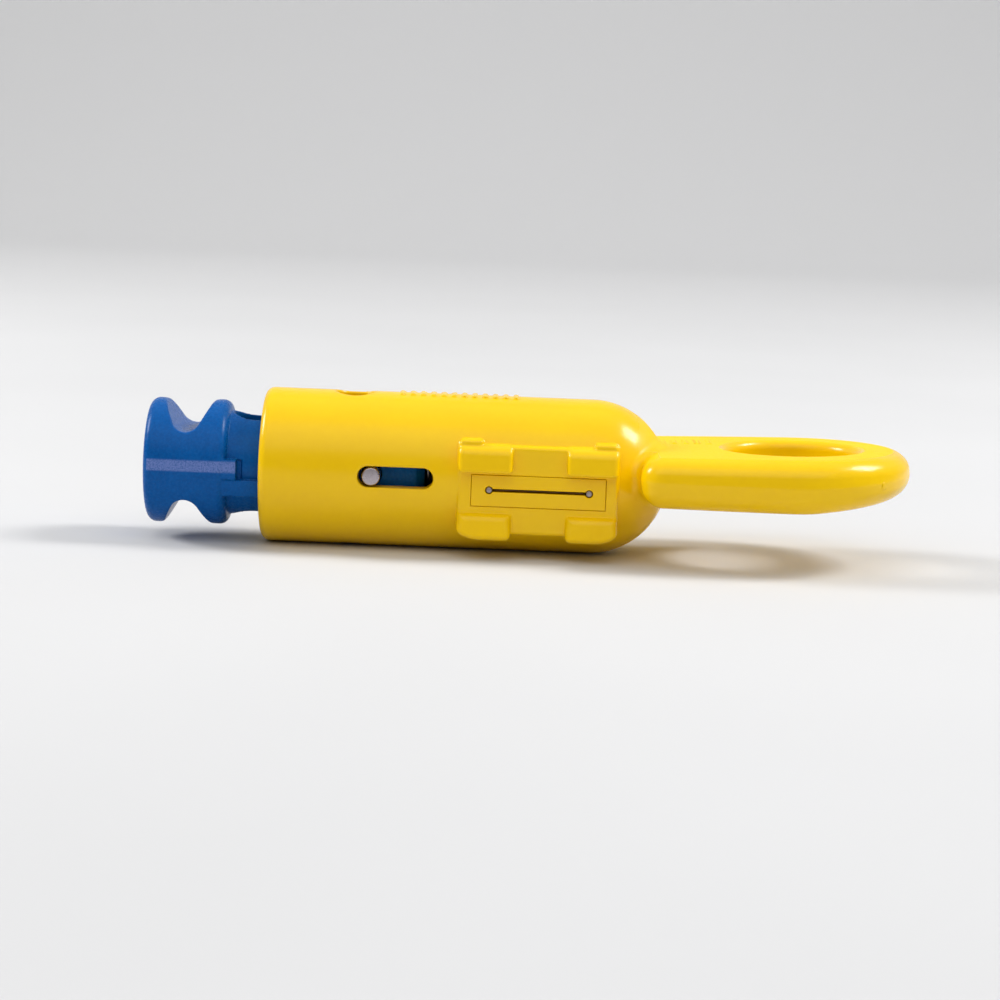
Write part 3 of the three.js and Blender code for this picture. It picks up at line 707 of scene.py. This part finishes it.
def drawn_steel(name, colour, roughness, stretch):
    """Bright steel with fine lines along one direction."""
    n = Nodes(name)
    lines = n.noise(900, 4, 0.7, stretch=stretch)
    darker = tuple(0.78 * c for c in colour)
    shade = n.ramp(lines, (0.3, darker), (0.7, colour))
    gloss = n.ramp(lines, (0.25, roughness * 0.75), (0.75, roughness * 1.3))
    n.use(Base_Color=shade, Roughness=gloss, Normal=n.bump(lines, 0.12, 0.00003))
    n.put(Metallic=1.0)
    return n.material


def paper_white():
    """The studio floor and its sweep: matt, pale grey near the tool and painted lighter far from it, as
    painted light where the lamps reach less.
    """
    n = Nodes("studio_paper")
    near = n.ramp(n.noise(6, 2), (0.3, (0.61, 0.61, 0.615)), (0.7, (0.64, 0.64, 0.645)))
    x, y, _ = n.axes()
    away = n.sum("POWER", n.sum("ADD", n.sum("MULTIPLY", x, x), n.sum("MULTIPLY", y, y)), 0.5)
    # Painted light: the colour rises towards white away from the tool, standing in for light that the nearby
    # lamps don't throw that far.
    shade = n.mix(n.rise(away, 0.15, 1.2), near, (0.95, 0.95, 0.955))
    n.use(Base_Color=shade, Normal=n.bump(n.noise(900, 2), 0.02, 0.0002))
    n.put(Roughness=0.85)
    return n.material


def dress(piece, material):
    piece.data.materials.clear()
    piece.data.materials.append(material)


YELLOW = yellow_plastic()
BLUE = blue_plastic()
PIN_STEEL = drawn_steel("pin_steel", (0.50, 0.45, 0.48), 0.3, (1, 0.05, 1))
RIVET_STEEL = drawn_steel("rivet_steel", (0.40, 0.35, 0.36), 0.36, (1, 0.05, 1))
BLADE_STEEL = drawn_steel("ground_blade_steel", (0.46, 0.41, 0.37), 0.26, (0.2, 1, 1))
SLITTER_STEEL = drawn_steel("browned_blade_steel", (0.36, 0.20, 0.11), 0.4, (0.2, 1, 1))
SPRING_STEEL = drawn_steel("spring_wire_steel", (0.5, 0.5, 0.5), 0.3, (1, 1, 1))

# ------------------------------------------------------------------ the pieces


def add(piece, material, body, node):
    """A new piece stands for its CAD node, on that node's body."""
    dress(piece, material)
    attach(piece, body)
    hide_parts(node)
    return piece


def build_pieces():
    housing = field_piece(
        "housing_moulding", housing_field,
        ruler((-0.6, 31.4, 0.42), (31.4, 59, 0.26), (59, 107.1, 0.42)),
        ruler((-20.6, -15.6, 0.42), (-15.6, -11.4, 0.2), (-11.4, 20.6, 0.42)),
        ruler((-13.3, -10.2, 0.42), (-10.2, 7.4, 0.26), (7.4, 13.5, 0.36)))
    add(housing, YELLOW, "housing", "housing")

    insert = field_piece(
        "slitter_insert_moulding", insert_field,
        ruler((34.2, 56.4, 0.16)),
        ruler((-13.2, -11.4, 0.1), (-11.4, -7.9, 0.25)),
        ruler((-4.4, 1.3, 0.1)), FINE_SETTLE)
    add(insert, YELLOW, "housing", "slitter_insert")

    half = SLIT["length"] / 2
    for side, x in (("left", SLIT["x"] - half), ("right", SLIT["x"] + half)):
        profile = rounded_end(-12.85, 0.55, 0.3, 1) + rounded_end(-8.9, 0.55, 0.1, -1)[::-1]
        pin = rod_piece(f"slitter_{side}_rivet", x, SLIT["z"], profile, 32)
        add(pin, RIVET_STEEL, "housing", f"slitter_pin_{side}")

    plunger = field_piece(
        "plunger_moulding", plunger_field,
        ruler((-19.3, 3.5, 0.26), (3.5, 27.2, 0.34)),
        ruler((-10.8, 10.8, 0.26)), ruler((-10.8, 10.8, 0.26)))
    add(plunger, BLUE, "plunger", "plunger")

    front = rounded_end(-PIN["half"], PIN["r"], 0.35, 1)
    profile = front + rounded_end(PIN["half"], PIN["r"], 0.35, -1)[::-1]
    pin = rod_piece("stop_pin_rod", PIN["x"], 0, profile)
    add(pin, PIN_STEEL, "plunger", "stop_pin")

    around = ruler((SCREW["x"] - 3.3, SCREW["x"] + 3.3, 0.1))
    across = ruler((-3.3, 3.3, 0.1))
    upright = ruler((-7.3, 7.8, 0.1))
    screw = field_piece("blade_screw_turned", screw_field, around, across, upright, FINE_SETTLE)
    add(screw, PIN_STEEL, "plunger", "blade_screw")
    upright = ruler((-6.9, -3.9, 0.1))
    nut = field_piece("blade_nut_turned", nut_field, around, across, upright, FINE_SETTLE)
    add(nut, PIN_STEEL, "plunger", "blade_nut")

    spring = spring_piece("return_spring_coil")
    dress(spring, SPRING_STEEL)
    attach(spring, "housing")
    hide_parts("return_spring")
    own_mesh(spring)

    dress(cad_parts["cutter_blade"], BLADE_STEEL)
    dress(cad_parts["slitter_blade"], SLITTER_STEEL)


build_pieces()

# ------------------------------------------------------------------ studio

TILT = math.radians(7.7)                   # how far above the tool the camera stands
ROLL = math.radians(2.29)                  # how far the tool's axis falls away to the right
AIM_X = 39.0                               # station at the middle of the picture
AIM_DROP = 4.55                            # how far below the axis the picture's middle lies
DISTANCE = 414.0
LENS = 90.0
SKY = {"horizon": 0.12, "zenith": 0.8}     # the surround's brightness


def add_camera():
    right0 = Vector((1, 0, 0))
    up0 = Vector((0, math.sin(TILT), math.cos(TILT)))
    ahead = Vector((0, math.cos(TILT), -math.sin(TILT)))
    right = right0 * math.cos(ROLL) + up0 * math.sin(ROLL)
    up = up0 * math.cos(ROLL) - right0 * math.sin(ROLL)
    aim = Vector((MOUTH + AIM_X * MM, 0, 0)) - up * AIM_DROP * MM
    data = bpy.data.cameras.new("camera")
    data.lens = LENS
    data.sensor_width = 36
    data.clip_start = 0.01
    data.clip_end = 20
    camera = bpy.data.objects.new("camera", data)
    turn = Matrix((right, up, -ahead)).transposed()
    camera.matrix_world = Matrix.Translation(aim - ahead * DISTANCE * MM) @ turn.to_4x4()
    bpy.context.scene.collection.objects.link(camera)
    bpy.context.scene.camera = camera


def add_floor():
    """Pale paper that lies flat under the tool and sweeps up behind it."""
    low = cad_box[0][2]
    half, near, far, bend, height = 3.0, -3.0, 1.2, 0.5, 2.5
    line = [(near, 0.0), (far, 0.0)]
    line += [(far + bend * math.sin(t), bend * (1 - math.cos(t)))
             for t in np.linspace(0.1, math.pi / 2, 14)]
    line.append((far + bend, height))
    points = [(x, y, low + z) for y, z in line for x in (-half, half)]
    faces = [(2 * i, 2 * i + 1, 2 * i + 3, 2 * i + 2) for i in range(len(line) - 1)]
    mesh = bpy.data.meshes.new("studio_floor")
    mesh.from_pydata(points, [], faces)
    mesh.polygons.foreach_set("use_smooth", [True] * len(faces))
    floor = bpy.data.objects.new("studio_floor", mesh)
    bpy.context.scene.collection.objects.link(floor)
    dress(floor, paper_white())


def add_light(name, place, aim, size, power):
    data = bpy.data.lights.new(name, "AREA")
    data.shape = "RECTANGLE"
    data.size, data.size_y = size
    data.energy = power
    lamp = bpy.data.objects.new(name, data)
    lamp.location = place
    lamp.rotation_euler = (Vector(aim) - Vector(place)).to_track_quat("-Z", "Y").to_euler()
    bpy.context.scene.collection.objects.link(lamp)


def add_sky():
    """An even surround that is brighter overhead than at the horizon."""
    world = bpy.data.worlds.new("studio")
    world.use_nodes = True
    tree = world.node_tree
    place = tree.nodes.new("ShaderNodeTexCoord")
    split = tree.nodes.new("ShaderNodeSeparateXYZ")
    level = tree.nodes.new("ShaderNodeMapRange")
    tree.links.new(place.outputs["Generated"], split.inputs[0])
    tree.links.new(split.outputs["Z"], level.inputs["Value"])
    level.inputs["To Min"].default_value = SKY["horizon"]
    level.inputs["To Max"].default_value = SKY["zenith"]
    shade = tree.nodes["Background"]
    shade.inputs["Color"].default_value = (1, 1, 1, 1)
    tree.links.new(level.outputs[0], shade.inputs["Strength"])
    bpy.context.scene.world = world


def add_lights():
    """Two softboxes above the tool's ends and a wide weak one in front."""
    add_light("right_softbox", (0.58, 0.13, 0.62), (0.01, 0, 0), (0.27, 0.27), 4.6)
    add_light("left_softbox", (-0.74, 0.17, 0.46), (-0.05, 0, 0), (0.27, 0.27), 4.4)
    add_light("front_fill", (-0.1, -0.66, 0.78), (0, 0, 0), (1.4, 0.8), 2.7)
    add_sky()
    bpy.context.scene.view_settings.view_transform = "Standard"
    bpy.context.scene.view_settings.look = "None"


add_camera()
add_floor()
add_lights()

bpy.context.view_layer.update()
